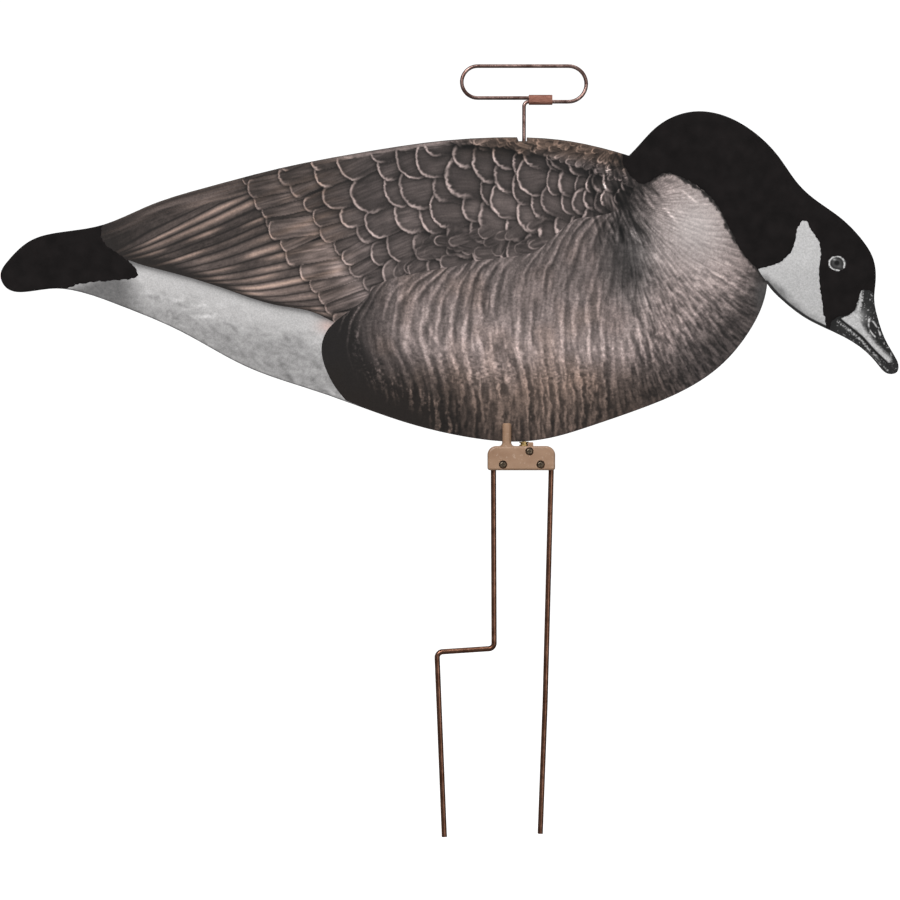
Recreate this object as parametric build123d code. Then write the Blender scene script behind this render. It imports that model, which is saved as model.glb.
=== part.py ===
"""Flat goose decoy on a two-pronged wire stake.

A twin-wall plastic silhouette stands on a vertical wire shaft that runs through one of its flutes. It rests
on a brass bush, swings a few degrees in the wind between two stop posts, and lifts a little along the shaft.
The shaft is bent into a carrying loop on top and is clamped, with the ground stake, between two screwed
housing halves below.

Frame, in millimetres: the origin is on the shaft's axis at the ground line, +Z is up, +X is the way the goose
faces, and +Y is away from the front of the housing.
"""

import os
from math import cos, radians, tan

from build123d import *

# --- driving dimensions -------------------------------------------------------------------------------------------

# Twin-wall sheet, with its flutes upright
SHEET = 5.0
LINER = 0.5
RIB = 0.5
FLUTE_PITCH = 5.6
FLUTE_BOTTOM_Z, FLUTE_TOP_Z = 170.0, 470.0

# The notch in the back's edge where the shaft comes out, slanted on the tail's side, (X, Z)
NOTCH = [(-7.5, 442.0), (-4.6, 434.9), (2.4, 434.9), (2.4, 442.0)]

# Flocking on the head, the neck and the tail
FLOCK = 0.7
EYE_X, EYE_Z = 265.8, 331.0
EYE_WIDTH, EYE_HEIGHT = 15.4, 13.4

# Wire of the shaft and handle, and wire of the ground stake
SHAFT_D = 3.2
STAKE_D = 4.5
WIRE_GAP = 0.05

# The handle: a long loop whose end lies on the shaft's bend, inside a crimped ferrule
LOOP_HALF_LENGTH = 52.9
LOOP_TOP_Z = 498.9
LOOP_START_Z = 468.6
SHAFT_BEND_R = 4.0
FERRULE_START_X, FERRULE_LENGTH = 4.1, 20.0
FERRULE_WALL = 1.1

# Housing, in two halves that meet at Y = 0
HOUSING_LEFT, HOUSING_RIGHT = -31.0, 26.2
HOUSING_BOTTOM, HOUSING_TOP = 155.4, 176.0
HOUSING_HALF_DEPTH = 11.0
HOUSING_TOP_CORNER_R = 7.6
HOUSING_BOTTOM_CORNER_R = 2.2
HOUSING_EDGE_R = 2.1

# Stop posts, which limit the swing
SWING_LIMIT = 12.0
STOP_GAP = 0.2
POST_X, POST_R, POST_TOP_Z = -14.7, 3.8, 195.4
POST_AXIS_Y = 7.0
POST_FLARE_R = 3.0
POST_TOP_R = 1.9
POST_EDGE_MARGIN = 0.4

# The lug beside the bush
LUG_LEFT, LUG_RIGHT, LUG_TOP_Z = 3.2, 7.8, 179.2
LUG_HALF_DEPTH = 4.5
LUG_CORNER_R = 0.8

# Pockets moulded into both halves from the parting face, clear of the wires and screws: left, right, low, high
POCKETS = [(-11.0, 9.0, 157.6, 162.2), (9.5, 19.5, 169.2, 173.6), (-28.4, -23.6, 168.6, 172.4)]
POCKET_DEPTH = 8.0

# How far the moulded pieces run into each other before they are joined, and a size beyond the whole housing
SUNK = 1.0
BEYOND = 100.0

# Brass bush on the shaft, which the sheet rests on
BUSH_BORE_D = SHAFT_D + 0.1
BUSH_FLANGE_D, BUSH_NECK_D = 8.0, 6.0
BUSH_SEAT_DEPTH = 1.0
BUSH_FLANGE = 1.1
BUSH_TOP_Z = 179.65
BUSH_SIDE_GAP = 0.2

# Foot of the shaft, clamped above the stake's cross bar
FOOT_Z = 170.4
FOOT_END_X = -14.0
FOOT_BEND_R = 4.0

# Ground stake, one bent wire: straight prong, cross bar in the housing, leg, step and stepped prong
CROSS_BAR_Z = 165.6
LEG_LEFT_X, LEG_RIGHT_X = -26.0, 23.4
LEG_BEND_R = 7.0
STEP_BEND_R = 4.8
STEP_RIGHT = (-25.4, 4.0)
STEP_LEFT = (-74.0, 0.8)
STEPPED_TIP = (-67.7, -156.2)
STRAIGHT_KINK = (17.9, -44.0)
STRAIGHT_TIP = (13.8, -153.5)
KINK_R = 200.0

# Thread-forming pan-head screws, driven from the front
SCREWS = {"screw_upper": (4.4, 171.4), "screw_left": (-18.0, 160.2), "screw_right": (13.9, 160.2)}
SCREW_D, SCREW_LENGTH = 3.0, 14.0
POINT_ANGLE, POINT_LENGTH = 25.0, 1.6
HEAD_D, HEAD_HEIGHT, HEAD_ROUND = 6.0, 2.2, 1.3
HEAD_RECESS_D, HEAD_RECESS_DEPTH = 7.2, 3.4
RECESS_SLOT_LENGTH, RECESS_SLOT_WIDTH, RECESS_SLOT_DEPTH = 3.4, 0.8, 1.3

# --- outline of the goose, (X, Z) ---------------------------------------------------------------------------------

CHIN = (206.6, 314.5)
NAPE = (89.0, 422.6)

BELLY_TO_BACK = [
    CHIN,
    (203.4, 298.5), (190.0, 271.5), (166.0, 243.5), (136.0, 223.5), (98.0, 207.3), (56.0, 192.7),
    (28.0, 184.2), (0.0, 179.9), (-42.0, 182.6), (-105.0, 197.4), (-173.0, 221.4), (-236.0, 243.5),
    (-292.0, 273.6), (-343.0, 295.3), (-378.0, 307.2), (-398.0, 310.0), (-424.0, 307.1), (-438.5, 309.4),
    (-444.6, 321.0), (-438.0, 333.6), (-418.0, 351.0), (-392.0, 357.8), (-360.0, 363.2), (-318.0, 380.4),
    (-270.0, 395.6), (-207.0, 412.0), (-139.0, 425.2), (-71.0, 435.1), (-16.0, 438.2), (34.0, 435.6),
    (66.0, 429.2),
    NAPE,
]  # fmt: skip

NAPE_TO_CHIN = [
    NAPE,
    (97.5, 431.5), (112.0, 446.6), (131.0, 457.3), (149.0, 460.3), (172.0, 455.8), (197.0, 441.2),
    (216.0, 422.0), (234.0, 397.2), (247.0, 385.4), (268.0, 370.4), (286.0, 352.4), (296.5, 335.0),
    (298.6, 317.0), (297.4, 300.5), (300.4, 284.5), (306.5, 267.0), (314.6, 252.6), (318.0, 244.0),
    (316.4, 238.6), (311.6, 237.2), (300.0, 246.6), (283.0, 262.4), (264.0, 272.8), (240.0, 284.6),
    (220.0, 299.8), (210.0, 309.8),
    CHIN,
]  # fmt: skip

# Edges of the flocked black areas, which the sheet's own outline completes
NECK_BASE = [(84.0, 426.0), (88.0, 408.6), (102.0, 399.0), (118.0, 407.6), (132.0, 405.0), (162.0, 383.0),
             (178.0, 353.5), (198.0, 326.6)]  # fmt: skip
CHEEK_EDGE = [(198.0, 326.6), (210.0, 329.4), (219.8, 333.8), (226.6, 341.0), (230.4, 351.5), (232.6, 361.8),
              (237.4, 367.4), (244.4, 358.8), (251.2, 347.8), (250.4, 327.0), (252.0, 305.0), (257.4, 272.0)]  # fmt: skip
BILL_EDGE = [(262.0, 266.0), (266.2, 285.0), (279.2, 290.0), (285.8, 306.6), (302.0, 301.0)]
HEAD_CUT_CORNERS = [(330.0, 301.0), (330.0, 480.0), (84.0, 480.0)]
TAIL_EDGE = [(-352.0, 372.0), (-356.0, 348.0), (-344.0, 339.0), (-328.0, 323.0), (-366.0, 315.4),
             (-396.0, 300.0)]  # fmt: skip
TAIL_CUT_CORNERS = [(-460.0, 300.0), (-460.0, 372.0)]


def flat_face(*lines):
    """The face inside lines drawn in (X, Z)."""
    return Plane.XZ * make_face([edge for line in lines for edge in line.edges()])


def flat_path(*lines):
    """A path along lines drawn in (X, Z)."""
    return Plane.XZ * Wire([edge for line in lines for edge in line.edges()])


def plate(face, front, back):
    """The face in Y = 0 as a plate from Y = front to Y = back."""
    return extrude(face.moved(Location((0, front, 0))), amount=back - front, dir=(0, 1, 0))


def rod(path, diameter):
    """A round wire along a path."""
    start = Plane(path @ 0, z_dir=path % 0)
    return sweep(start * Circle(diameter / 2), path=path)


# --- the sheet and its flocking -----------------------------------------------------------------------------------


def goose_face():
    return flat_face(Spline(*BELLY_TO_BACK), Spline(*NAPE_TO_CHIN))


def flutes():
    """The channels between the liners, one of them centred on the shaft."""
    width, depth, height = FLUTE_PITCH - RIB, SHEET - 2 * LINER, FLUTE_TOP_Z - FLUTE_BOTTOM_Z
    middle_z = (FLUTE_TOP_Z + FLUTE_BOTTOM_Z) / 2
    first = -int(-min(x for x, _ in BELLY_TO_BACK) // FLUTE_PITCH)
    last = int(max(x for x, _ in NAPE_TO_CHIN) // FLUTE_PITCH)
    return [Pos(i * FLUTE_PITCH, 0, middle_z) * Box(width, depth, height) for i in range(first, last + 1)]


def make_sheet():
    notch = plate(flat_face(Polyline(*NOTCH, close=True)), -SHEET, SHEET)
    return plate(goose_face(), -SHEET / 2, SHEET / 2) - notch - flutes()


def head_face():
    """The black neck and head, without the white cheek, the bill and the eye."""
    cut = flat_face(
        Spline(*NECK_BASE),
        Spline(*CHEEK_EDGE),
        Line(CHEEK_EDGE[-1], BILL_EDGE[0]),
        Spline(*BILL_EDGE),
        Polyline(BILL_EDGE[-1], *HEAD_CUT_CORNERS, NECK_BASE[0]),
    )
    eye = Pos(EYE_X, 0, EYE_Z) * (Plane.XZ * Ellipse(EYE_WIDTH / 2, EYE_HEIGHT / 2))
    return (goose_face() & cut) - eye


def tail_face():
    cut = flat_face(
        Spline(*TAIL_EDGE),
        Polyline(TAIL_EDGE[-1], *TAIL_CUT_CORNERS, TAIL_EDGE[0]),
    )
    return goose_face() & cut


def make_flocking():
    """A layer of flocking for each black area, on each side of the sheet."""
    layers = {}
    for area, found in (("head", head_face()), ("tail", tail_face())):
        face = found.faces()[0]
        layers[f"flock_{area}_front"] = plate(face, -SHEET / 2 - FLOCK, -SHEET / 2)
        layers[f"flock_{area}_back"] = plate(face, SHEET / 2, SHEET / 2 + FLOCK)
    return layers


# --- wires --------------------------------------------------------------------------------------------------------


def shaft_path():
    """Foot, shaft, bend, and the loop round to its end on top of the bend's run."""
    end_z = LOOP_START_Z + SHAFT_D
    right_r, left_r = (LOOP_TOP_Z - LOOP_START_Z) / 2, (LOOP_TOP_Z - end_z) / 2
    right_x, left_x = LOOP_HALF_LENGTH - right_r, left_r - LOOP_HALF_LENGTH
    stem_top = (0, FOOT_Z + 2 * FOOT_BEND_R)
    return flat_path(
        FilletPolyline((FOOT_END_X, FOOT_Z), (0, FOOT_Z), stem_top, radius=FOOT_BEND_R),
        FilletPolyline(stem_top, (0, LOOP_START_Z), (right_x, LOOP_START_Z), radius=SHAFT_BEND_R),
        ThreePointArc(
            (right_x, LOOP_START_Z), (LOOP_HALF_LENGTH, LOOP_START_Z + right_r), (right_x, LOOP_TOP_Z)
        ),
        Line((right_x, LOOP_TOP_Z), (left_x, LOOP_TOP_Z)),
        ThreePointArc((left_x, LOOP_TOP_Z), (-LOOP_HALF_LENGTH, LOOP_TOP_Z - left_r), (left_x, end_z)),
        Line((left_x, end_z), (FERRULE_START_X + FERRULE_LENGTH - 1, end_z)),
    )


def stake_path():
    """From the straight prong's tip, up through the housing and down to the stepped prong's tip."""
    corners = [
        STRAIGHT_TIP,
        STRAIGHT_KINK,
        (LEG_RIGHT_X, CROSS_BAR_Z),
        (LEG_LEFT_X, CROSS_BAR_Z),
        STEP_RIGHT,
        STEP_LEFT,
        STEPPED_TIP,
    ]
    radii = [KINK_R, LEG_BEND_R, LEG_BEND_R, STEP_BEND_R, STEP_BEND_R]
    return flat_path(FilletPolyline(*corners, radius=radii))


def make_ferrule():
    """A flattened tube round the shaft's bend and the loop's end, which share its hollow."""
    high, wide = 2 * SHAFT_D, SHAFT_D
    middle_z = LOOP_START_Z + SHAFT_D / 2

    def outline(margin):
        return SlotOverall(high + 2 * margin, wide + 2 * margin, rotation=90)

    section = outline(FERRULE_WALL) - outline(WIRE_GAP)
    start = Plane((FERRULE_START_X, 0, middle_z), x_dir=(0, 1, 0), z_dir=(1, 0, 0))
    return extrude(start * section, FERRULE_LENGTH)


# --- bush, housing and screws -------------------------------------------------------------------------------------


def make_bush():
    """A brass spool: two flanges and a neck, bored for the shaft."""
    base_z = HOUSING_TOP - BUSH_SEAT_DEPTH
    height = BUSH_TOP_Z - base_z

    def disc(diameter, z, thickness):
        return Pos(0, 0, z) * Cylinder(diameter / 2, thickness, align=(Align.CENTER, Align.CENTER, Align.MIN))

    spool = disc(BUSH_NECK_D, base_z, height)
    spool += disc(BUSH_FLANGE_D, base_z, BUSH_SEAT_DEPTH + BUSH_FLANGE)
    spool += disc(BUSH_FLANGE_D, BUSH_TOP_Z - BUSH_FLANGE, BUSH_FLANGE)
    return spool - disc(BUSH_BORE_D, base_z, height)


def housing_block():
    """The closed housing's outer shape, with soft edges all round its front and back faces."""
    width, height = HOUSING_RIGHT - HOUSING_LEFT, HOUSING_TOP - HOUSING_BOTTOM
    middle = Pos((HOUSING_LEFT + HOUSING_RIGHT) / 2, 0, (HOUSING_BOTTOM + HOUSING_TOP) / 2)
    block = middle * Box(width, 2 * HOUSING_HALF_DEPTH, height)
    upright_corners = block.edges().filter_by(Axis.Y)
    block = fillet(upright_corners.group_by(Axis.Z)[-1], HOUSING_TOP_CORNER_R)
    block = fillet(block.edges().filter_by(Axis.Y).group_by(Axis.Z)[0], HOUSING_BOTTOM_CORNER_R)
    rims = [*block.faces().sort_by(Axis.Y)[0].edges(), *block.faces().sort_by(Axis.Y)[-1].edges()]
    return fillet(rims, HOUSING_EDGE_R)


def post(side):
    """A stop post on the front half, side -1, or the back, side 1: round outside, flat towards the sheet."""
    far_edge = POST_R - POST_X
    flat_y = SHEET / 2 / cos(radians(SWING_LIMIT)) + far_edge * tan(radians(SWING_LIMIT)) + STOP_GAP
    foot_r, foot_z, sunk_z = POST_R + POST_FLARE_R, HOUSING_TOP + POST_FLARE_R, HOUSING_TOP - SUNK
    flat_r, shoulder_z = POST_R - POST_TOP_R, POST_TOP_Z - POST_TOP_R
    profile = flat_face(
        Polyline((flat_r, POST_TOP_Z), (0, POST_TOP_Z), (0, sunk_z), (foot_r, sunk_z), (foot_r, HOUSING_TOP)),
        RadiusArc((foot_r, HOUSING_TOP), (POST_R, foot_z), POST_FLARE_R),
        Line((POST_R, foot_z), (POST_R, shoulder_z)),
        RadiusArc((POST_R, shoulder_z), (flat_r, POST_TOP_Z), -POST_TOP_R),
    )
    turned = Pos(POST_X, side * POST_AXIS_Y, 0) * revolve(profile, Axis.Z)
    room = HOUSING_HALF_DEPTH - POST_EDGE_MARGIN - flat_y
    keep = Pos(POST_X, side * (flat_y + room / 2), POST_TOP_Z) * Box(BEYOND, room, BEYOND)
    return turned & keep


def lug():
    """A small round-cornered block beside the bush, across both halves."""
    height = LUG_TOP_Z - HOUSING_TOP + SUNK
    middle = Pos((LUG_LEFT + LUG_RIGHT) / 2, 0, LUG_TOP_Z - height / 2)
    block = middle * Box(LUG_RIGHT - LUG_LEFT, 2 * LUG_HALF_DEPTH, height)
    return fillet(block.edges().filter_by(Axis.Y).group_by(Axis.Z)[-1], LUG_CORNER_R)


def pockets():
    return [
        Pos((left + right) / 2, 0, (low + high) / 2) * Box(right - left, 2 * POCKET_DEPTH, high - low)
        for left, right, low, high in POCKETS
    ]


def make_housing(shaft, stake):
    """The two halves, cut round the wires, the bush and the screws."""
    block = housing_block() + lug() + post(-1) + post(1)
    seat_r, seat_z = BUSH_FLANGE_D / 2 + BUSH_SIDE_GAP, HOUSING_TOP - BUSH_SEAT_DEPTH
    seat = Pos(0, 0, seat_z) * Cylinder(seat_r, BEYOND, align=(Align.CENTER, Align.CENTER, Align.MIN))
    block -= [seat, rod(shaft, SHAFT_D + 2 * WIRE_GAP), rod(stake, STAKE_D + 2 * WIRE_GAP), *pockets()]
    halves = {}
    for name, side in (("housing_front", -1), ("housing_back", 1)):
        half = block & Pos(0, side * BEYOND / 2, HOUSING_TOP) * Box(BEYOND, BEYOND, BEYOND)
        halves[name] = half - [screw_hole(x, z) for x, z in SCREWS.values()]
    return halves


def along_y(x, z, start, length, diameter):
    """A round bar along +Y."""
    return extrude(Plane((x, start, z), z_dir=(0, 1, 0)) * Circle(diameter / 2), length)


def screw_hole(x, z):
    """Recess for the head, and a hole that the screw fills."""
    seat_y = HEAD_RECESS_DEPTH - HOUSING_HALF_DEPTH
    recess = along_y(x, z, seat_y - BEYOND, BEYOND, HEAD_RECESS_D)
    return recess + along_y(x, z, seat_y - SUNK, SUNK + SCREW_LENGTH + SUNK, SCREW_D + 2 * WIRE_GAP)


def make_screw(x, z):
    """Domed head with a cross recess, plain shank and point."""
    seat_y = HEAD_RECESS_DEPTH - HOUSING_HALF_DEPTH
    head = along_y(x, z, seat_y - HEAD_HEIGHT, HEAD_HEIGHT, HEAD_D)
    head = fillet(head.edges().sort_by(Axis.Y)[0], HEAD_ROUND)
    screw = head + along_y(x, z, seat_y, SCREW_LENGTH, SCREW_D)
    screw = chamfer(screw.edges().sort_by(Axis.Y)[-1], POINT_LENGTH, angle=POINT_ANGLE)
    slot_y = seat_y - HEAD_HEIGHT + RECESS_SLOT_DEPTH / 2
    for long_x, long_z in ((RECESS_SLOT_LENGTH, RECESS_SLOT_WIDTH), (RECESS_SLOT_WIDTH, RECESS_SLOT_LENGTH)):
        screw -= Pos(x, slot_y, z) * Box(long_x, RECESS_SLOT_DEPTH, long_z)
    return screw


# --- the whole decoy ----------------------------------------------------------------------------------------------


def make_all():
    shaft, stake = shaft_path(), stake_path()
    nodes = {
        "panel": make_sheet(),
        **make_flocking(),
        "shaft_and_handle": rod(shaft, SHAFT_D),
        "handle_ferrule": make_ferrule(),
        "pivot_bush": make_bush(),
        **make_housing(shaft, stake),
        "ground_stake": rod(stake, STAKE_D),
    }
    for name, (x, z) in SCREWS.items():
        nodes[name] = make_screw(x, z)
    return nodes


os.makedirs("parts", exist_ok=True)
for node, solid in make_all().items():
    export_step(solid, f"parts/{node}.step")
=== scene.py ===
"""Looks of the goose decoy: printed plumage, flocking, painted wire, moulded housing and soft light.

Shapes and places come from the frame. The plumage is painted by formula on fine flat skins that lie on the
sheet. Lengths there are in millimetres, in the sheet's plane, (x, z), and angles in degrees from +x towards
+z. Tones are print tones from 0, black, to 255, white. Warmth is 0 for grey, 1 for pinkish, and tan beyond.
"""

import math

import bmesh
import bpy
import numpy as np
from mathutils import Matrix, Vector, geometry


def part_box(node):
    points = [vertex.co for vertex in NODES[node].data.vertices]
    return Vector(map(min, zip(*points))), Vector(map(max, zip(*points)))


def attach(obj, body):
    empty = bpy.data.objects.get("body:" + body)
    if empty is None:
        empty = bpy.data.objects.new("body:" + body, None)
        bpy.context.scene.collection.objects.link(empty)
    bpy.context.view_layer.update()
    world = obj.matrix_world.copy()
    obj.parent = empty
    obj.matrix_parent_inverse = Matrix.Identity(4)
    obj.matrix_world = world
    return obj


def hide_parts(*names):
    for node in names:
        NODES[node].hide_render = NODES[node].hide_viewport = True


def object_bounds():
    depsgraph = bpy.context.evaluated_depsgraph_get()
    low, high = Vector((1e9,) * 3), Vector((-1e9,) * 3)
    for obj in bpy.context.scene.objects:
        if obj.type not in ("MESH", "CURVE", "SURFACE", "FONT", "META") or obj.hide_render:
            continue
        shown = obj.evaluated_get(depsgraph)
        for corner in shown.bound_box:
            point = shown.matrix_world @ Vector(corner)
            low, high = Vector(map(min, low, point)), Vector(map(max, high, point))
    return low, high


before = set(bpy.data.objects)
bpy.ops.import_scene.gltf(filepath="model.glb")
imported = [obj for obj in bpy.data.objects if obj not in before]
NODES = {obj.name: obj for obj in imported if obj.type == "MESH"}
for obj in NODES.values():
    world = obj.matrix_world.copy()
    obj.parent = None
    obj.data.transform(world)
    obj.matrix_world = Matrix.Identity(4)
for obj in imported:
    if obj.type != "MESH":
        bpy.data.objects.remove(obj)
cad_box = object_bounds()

MM = 0.001

# Printed skins: how far they stand off the sheet, and the spacing of their points
INK = 0.08
SPACING = {"wing": 0.85, "rump": 1.2, "flank": 0.9, "head": 0.6}

# Flocked layers: the spacing of their points, the width of the rounded rim, and how ragged the edge is
FLOCK_SPACING = 1.6
FLOCK_RIM = 1.6
RAGGED = 0.75

# The sheet's flutes, in metres, and how many bands a wave texture has per unit at a scale of 1
FLUTE_PITCH = 0.0056
WAVES_PER_UNIT = 3.18

# The sheet's sides, as signs of Y
SIDES = {"front": -1, "back": 1}

# --- outlines of the CAD faces --------------------------------------------------------------------


def face_loops(node, side):
    """Closed outlines, in mm, of a node's flat face on side -1, the front, or 1, the back."""
    mesh = NODES[node].data
    points = np.empty(len(mesh.vertices) * 3)
    mesh.vertices.foreach_get("co", points)
    points = points.reshape(-1, 3) / MM
    outermost = (points[:, 1] * side).max()
    on_face = np.abs(points[:, 1] * side - outermost) < 0.01
    key = [tuple(p) for p in np.round(points[:, [0, 2]], 3)]
    uses = {}
    for polygon in mesh.polygons:
        corners = list(polygon.vertices)
        if not on_face[corners].all():
            continue
        for a, b in zip(corners, corners[1:] + corners[:1]):
            a, b = key[a], key[b]
            if a != b:
                uses[frozenset((a, b))] = uses.get(frozenset((a, b)), 0) + 1
    onward = {}
    for edge, count in uses.items():
        if count == 1:
            a, b = tuple(edge)
            onward.setdefault(a, []).append(b)
            onward.setdefault(b, []).append(a)
    loops = []
    while onward:
        start = next(iter(onward))
        loop, here = [start], start
        while onward.get(here):
            ahead = onward[here].pop()
            onward[ahead].remove(here)
            here = ahead
            if here == start:
                break
            loop.append(here)
        for point in loop:
            if point in onward and not onward[point]:
                del onward[point]
        loops.append(np.array(loop))
    return sorted(loops, key=lambda loop: -len(loop))


def inside(points, loop):
    """Which points lie inside a loop, by counting the edges that a ray crosses."""
    x, z = points[:, 0], points[:, 1]
    found = np.zeros(len(points), bool)
    for (x0, z0), (x1, z1) in zip(loop, np.roll(loop, -1, axis=0)):
        if z0 != z1:
            crosses = (z0 > z) != (z1 > z)
            found ^= crosses & (x < (x1 - x0) * (z - z0) / (z1 - z0) + x0)
    return found


def distance_to(points, path):
    """Distance of each point from a polyline."""
    path = np.asarray(path, float)
    nearest = np.full(len(points), 1e9)
    for a, b in zip(path[:-1], path[1:]):
        along = b - a
        share = np.clip(((points - a) @ along) / max(along @ along, 1e-9), 0, 1)
        nearest = np.minimum(nearest, np.linalg.norm(points - a - share[:, None] * along, axis=1))
    return nearest


def smooth_path(points):
    """Catmull-Rom curve through given points, in eight steps from each to the next."""
    points = [np.asarray(p, float) for p in points]
    points = [2 * points[0] - points[1], *points, 2 * points[-1] - points[-2]]
    curve = []
    for p0, p1, p2, p3 in zip(points, points[1:], points[2:], points[3:]):
        slope, bend, twist = p2 - p0, 2 * p0 - 5 * p1 + 4 * p2 - p3, 3 * p1 - p0 - 3 * p2 + p3
        for t in np.arange(8) / 8:
            curve.append(0.5 * (2 * p1 + slope * t + bend * t**2 + twist * t**3))
    curve.append(points[-2])
    return np.array(curve)


# --- flat pieces ----------------------------------------------------------------------------------


def lattice(loops, spacing):
    """Points of a triangular lattice inside the first loop and outside the others."""
    low, high = loops[0].min(axis=0), loops[0].max(axis=0)
    rows = np.arange(low[1], high[1], spacing * math.sqrt(3) / 2)
    columns = np.arange(low[0], high[0], spacing)
    grid = []
    for i, z in enumerate(rows):
        shifted = columns + (i % 2) * spacing / 2
        grid.append(np.stack([shifted, np.full(len(columns), z)], axis=1))
    points = np.vstack(grid)
    keep = inside(points, loops[0])
    for hole in loops[1:]:
        keep &= ~inside(points, hole)
    return points[keep]


def triangulated(loops, extra):
    """Triangles over the loops and the points inside them, and where each point of the loops went."""
    corners, edges = [], []
    for loop in loops:
        start = len(corners)
        corners += [Vector(p) for p in loop]
        edges += [(start + i, start + (i + 1) % len(loop)) for i in range(len(loop))]
    rim = len(corners)
    corners += [Vector(p) for p in extra]
    points, _, faces, sources, _, _ = geometry.delaunay_2d_cdt(corners, edges, [], 1, 1e-6)
    points = np.array([tuple(p) for p in points])
    place = {source: i for i, given in enumerate(sources) for source in given if source < rim}
    centres = points[np.array(faces)].mean(axis=1)
    solid = np.ones(len(faces), bool)
    for hole in loops[1:]:
        solid &= ~inside(centres, hole)
    return points, np.array(faces)[solid], [place[i] for i in range(rim)]


def slab(name, loops, spacing, base_y, outer_y, rim=0.0):
    """A thin closed plate on the sheet: its outer face is a fine lattice, and rim rounds its edge down."""
    fine, fine_faces, fine_rim = triangulated(loops, lattice(loops, spacing))
    coarse, coarse_faces, coarse_rim = triangulated(loops, [])
    depth = np.full(len(fine), outer_y)
    if rim:
        edge = np.minimum.reduce([distance_to(fine, np.vstack([loop, loop[:1]])) for loop in loops])
        depth -= (outer_y - base_y) * 0.55 * np.clip(1 - edge / rim, 0, 1) ** 2
    vertices = [(x * MM, y * MM, z * MM) for (x, z), y in zip(fine, depth)]
    vertices += [(x * MM, base_y * MM, z * MM) for x, z in coarse]
    faces = fine_faces.tolist() + (coarse_faces + len(fine)).tolist()
    start = 0
    for loop in loops:
        for i in range(len(loop)):
            a, b = start + i, start + (i + 1) % len(loop)
            faces.append((fine_rim[a], fine_rim[b], len(fine) + coarse_rim[b], len(fine) + coarse_rim[a]))
        start += len(loop)
    mesh = bpy.data.meshes.new(name)
    mesh.from_pydata(vertices, [], faces)
    face_outwards(mesh)
    return add_object(name, mesh), fine


def add_object(name, data):
    """A new object in the scene."""
    added = bpy.data.objects.new(name, data)
    bpy.context.scene.collection.objects.link(added)
    return added


def face_outwards(mesh):
    edit = bmesh.new()
    edit.from_mesh(mesh)
    bmesh.ops.recalc_face_normals(edit, faces=edit.faces)
    edit.to_mesh(mesh)
    edit.free()


# --- noise and blending ---------------------------------------------------------------------------


class Noise:
    """Smooth repeatable noise in the plane, from -1 to 1."""

    def __init__(self, seed):
        self.values = np.random.default_rng(seed).uniform(-1, 1, (256, 256))

    def __call__(self, u, v):
        u, v = np.broadcast_arrays(np.asarray(u, float), np.asarray(v, float))
        iu, iv = np.floor(u).astype(int), np.floor(v).astype(int)
        fu, fv = u - iu, v - iv
        fu, fv = fu * fu * (3 - 2 * fu), fv * fv * (3 - 2 * fv)
        low = self.at(iu, iv) * (1 - fu) + self.at(iu + 1, iv) * fu
        high = self.at(iu, iv + 1) * (1 - fu) + self.at(iu + 1, iv + 1) * fu
        return low * (1 - fv) + high * fv

    def at(self, i, j):
        """The value at whole numbers, which repeats every 256."""
        return self.values[i & 255, j & 255]

    def rough(self, u, v, octaves=3):
        """The same noise with finer noise added."""
        return sum(self(u * 2**i, v * 2**i) / 2**i for i in range(octaves)) / (2 - 2 ** (1 - octaves))


def ramp(low, high, value):
    """Smooth step from 0 at low to 1 at high."""
    share = np.clip((value - low) / (high - low), 0, 1)
    return share * share * (3 - 2 * share)


def bell(value):
    """1 at 0, falling off smoothly on both sides."""
    return np.exp(-(value**2))


def mix(a, b, share):
    return a * (1 - share) + b * share


def neighbourhood(x, z, values):
    """Mean of the values round each point, over about three cells of a coarse grid."""
    cell = 14.0
    column, row = (x - x.min()) / cell + 1, (z - z.min()) / cell + 1
    shape = (int(column.max()) + 3, int(row.max()) + 3)
    index = np.ravel_multi_index((column.astype(int), row.astype(int)), shape)
    boxes = [np.bincount(index, weights, minlength=shape[0] * shape[1]).reshape(shape)
             for weights in (values, np.ones(len(x)))]
    for axis in (0, 1):
        boxes = [np.roll(box, 1, axis) + 2 * box + np.roll(box, -1, axis) for box in boxes]
    means = boxes[0] / np.maximum(boxes[1], 1e-9)
    means[boxes[1] == 0] = values.mean()
    column, row = column - 0.5, row - 0.5
    i, j = np.floor(column).astype(int), np.floor(row).astype(int)
    u, v = column - i, row - j
    low = mix(means[i, j], means[i + 1, j], u)
    return mix(low, mix(means[i, j + 1], means[i + 1, j + 1], u), v)


# --- where the plumage changes --------------------------------------------------------------------

NAPE = (89.0, 422.6)
CHIN = (206.6, 314.5)
TAIL_END = (-404, 298)
BELLY_START = (-150, 213)
WING_MEETS_FLANK = (-161, 281)
SHOULDER = (88, 384)

# Under the neck's flocking, from the chin to the nape
NECK_SEAM = [CHIN, (198.5, 326.6), (187, 352), (168, 385), (136, 411), (110, 410), (98, 411), NAPE]
# Under the tail's flocking, then along the wing's lower edge
WING_EDGE = [(-390, 322), (-352, 336), (-320, 328.5), (-284, 319), (-254, 309.5), (-233, 302),
             (-212, 296), (-182, 290.5), WING_MEETS_FLANK]
# Round the flank's end and along its top, up to the shoulder
FLANK_EDGE = [BELLY_START, (-161, 227), (-169, 243), (-172, 258), (-169, 271), WING_MEETS_FLANK,
              (-148, 291), (-136, 300), (-128, 310), (-116, 317), (-100, 321), (-80, 325), (-58, 329),
              (-35, 334), (-8, 337), (9, 341), (21, 350), (33, 361), (45, 369), (60, 371), (76, 375),
              SHOULDER, (98, 411)]
FLANK_TOP = FLANK_EDGE[FLANK_EDGE.index(WING_MEETS_FLANK) :]
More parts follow.
